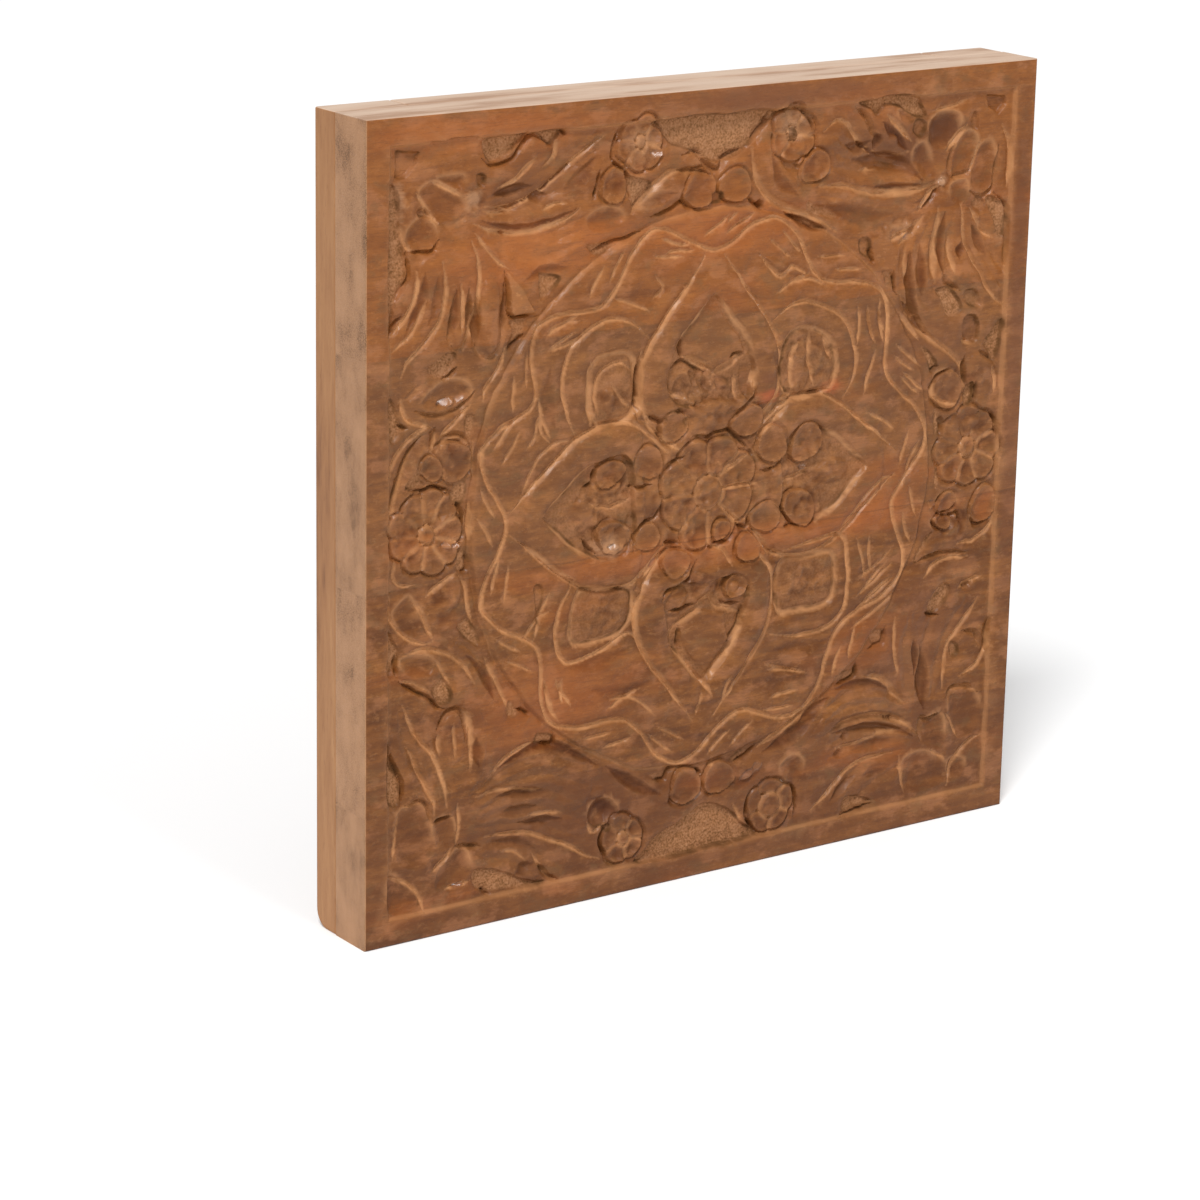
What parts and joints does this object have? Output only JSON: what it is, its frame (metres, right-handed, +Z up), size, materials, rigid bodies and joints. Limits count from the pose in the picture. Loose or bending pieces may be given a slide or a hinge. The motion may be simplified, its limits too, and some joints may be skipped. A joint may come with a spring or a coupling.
{
  "type": "carved wall panel",
  "caption": "Square carved wooden wall panel with a round floral medallion, corner palmettes and a batten frame glued behind its edges.",
  "frame": {"origin": "middle of the underside, at the height that the panel stands on", "axes": "+Z up, +X to the right seen from the front, +Y from the carved face into the panel"},
  "size_m": [0.4, 0.045, 0.4],
  "materials": {
    "carved_wood": "satin oiled, worn edges",
    "batten_wood": "satin oiled"
  },
  "bodies": {
    "root": {"carved_board": "carved_wood", "left_stile": "batten_wood", "right_stile": "batten_wood", "top_rail": "batten_wood", "bottom_rail": "batten_wood"}
  },
  "joints": []
}
